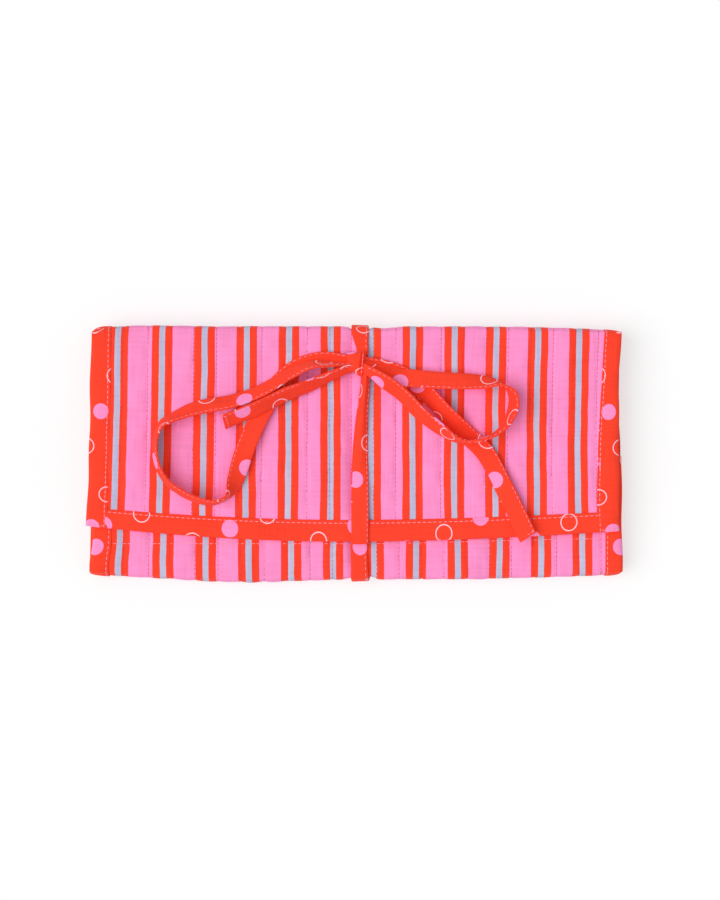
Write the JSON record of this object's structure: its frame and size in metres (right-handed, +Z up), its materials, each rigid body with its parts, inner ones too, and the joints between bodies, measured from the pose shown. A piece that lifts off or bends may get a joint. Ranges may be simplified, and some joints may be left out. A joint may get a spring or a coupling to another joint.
{
  "type": "jewelry roll",
  "caption": "Quilted tri-fold jewelry roll in striped cotton, closed and tied with a bow; its panels unfold and its zipped pockets open.",
  "frame": {"origin": "bottom centre of the closed roll, on the surface it lies on", "axes": "+X to the right across the roll, +Y towards the top fold, +Z up, out of the flap"},
  "size_m": [0.266, 0.1274, 0.0305],
  "materials": {
    "striped_cover": "striped quilting cotton, matt",
    "wadding": "soft polyester wadding",
    "lining": "plain cotton, matt",
    "binding": "folded cotton binding, matt",
    "tie": "folded and stitched cotton tie, matt",
    "pocket": "plain cotton, matt",
    "zip_tape": "woven tape",
    "zip_coil": "nylon coil",
    "fitting": "polished"
  },
  "bodies": {
    "back": {"back_cover": "striped_cover", "back_wadding": "wadding", "back_lining": "lining", "back_binding_left": "binding", "back_binding_right": "binding", "back_pocket": "pocket", "back_pocket_header": "pocket", "back_zip_tape_lower": "zip_tape", "back_zip_tape_upper": "zip_tape", "back_zip_coil": "zip_coil", "ring_bar": "lining", "ring_bar_anchor": "lining", "ring_bar_tab": "lining", "snap_socket": "fitting", "snap_cap": "fitting", "tie_back": "tie"},
    "top_spine": {"top_spine": "striped_cover", "top_back_fold": "striped_cover", "top_flap_fold": "striped_cover", "top_binding_left": "binding", "top_binding_right": "binding", "tie_top_turn": "tie"},
    "flap": {"flap_cover": "striped_cover", "flap_wadding": "wadding", "flap_lining": "lining", "flap_binding_left": "binding", "flap_binding_right": "binding", "flap_binding_end": "binding", "flap_pocket": "pocket", "flap_pocket_header": "pocket", "flap_zip_tape_lower": "zip_tape", "flap_zip_tape_upper": "zip_tape", "flap_zip_coil": "zip_coil", "tie_flap_upper": "tie", "tie_knot": "tie", "tie_flap_lower": "tie", "tie_loop_left": "tie", "tie_loop_right": "tie", "tie_tail_left": "tie", "tie_tail_right": "tie"},
    "bottom_spine": {"bottom_spine": "striped_cover", "bottom_back_fold": "striped_cover", "bottom_front_fold": "striped_cover", "bottom_binding_left": "binding", "bottom_binding_right": "binding", "tie_bottom_turn": "tie"},
    "front": {"front_cover": "striped_cover", "front_wadding": "wadding", "front_lining": "lining", "front_binding_left": "binding", "front_binding_right": "binding", "front_binding_end": "binding", "front_pocket": "pocket", "tie_front": "tie"},
    "back_slider": {"back_zip_slider": "fitting"},
    "back_pull": {"back_zip_pull": "fitting"},
    "flap_slider": {"flap_zip_slider": "fitting"},
    "flap_pull": {"flap_zip_pull": "fitting"}
  },
  "joints": [
    {"name": "top_fold", "type": "hinge", "parent": "back", "child": "top_spine", "pos_m": [0, 0.0599, 0.0036], "axis": [-1, 0, 0], "range_deg": [0, 90], "deforming": ["top_back_fold", "top_binding_left", "top_binding_right", "tie_top_turn"]},
    {"name": "flap_fold", "type": "hinge", "parent": "top_spine", "child": "flap", "pos_m": [0, 0.0599, 0.0152], "axis": [-1, 0, 0], "range_deg": [0, 90], "deforming": ["top_flap_fold"]},
    {"name": "bottom_fold", "type": "hinge", "parent": "back", "child": "bottom_spine", "pos_m": [0, -0.0599, 0.0036], "axis": [1, 0, 0], "range_deg": [0, 90], "deforming": ["bottom_back_fold", "bottom_binding_left", "bottom_binding_right", "tie_bottom_turn"]},
    {"name": "front_fold", "type": "hinge", "parent": "bottom_spine", "child": "front", "pos_m": [0, -0.0599, 0.0102], "axis": [1, 0, 0], "range_deg": [0, 90], "deforming": ["bottom_front_fold"]},
    {"name": "back_zip_slide", "type": "slide", "parent": "back", "child": "back_slider", "axis": [-1, 0, 0], "range_m": [0, 0.18]},
    {"name": "back_zip_pull_swing", "type": "hinge", "parent": "back_slider", "child": "back_pull", "pos_m": [0.092, 0.046, 0.0084], "axis": [0, -1, 0], "range_deg": [0, 12]},
    {"name": "flap_zip_slide", "type": "slide", "parent": "flap", "child": "flap_slider", "axis": [1, 0, 0], "range_m": [0, 0.18]},
    {"name": "flap_zip_pull_swing", "type": "hinge", "parent": "flap_slider", "child": "flap_pull", "pos_m": [-0.092, 0.028, 0.0104], "axis": [0, -1, 0], "range_deg": [0, 12]}
  ],
  "couplings": [
    {"joint": "flap_fold", "follows": "top_fold", "ratio": 1},
    {"joint": "bottom_fold", "follows": "top_fold", "ratio": 1},
    {"joint": "front_fold", "follows": "top_fold", "ratio": 1}
  ]
}
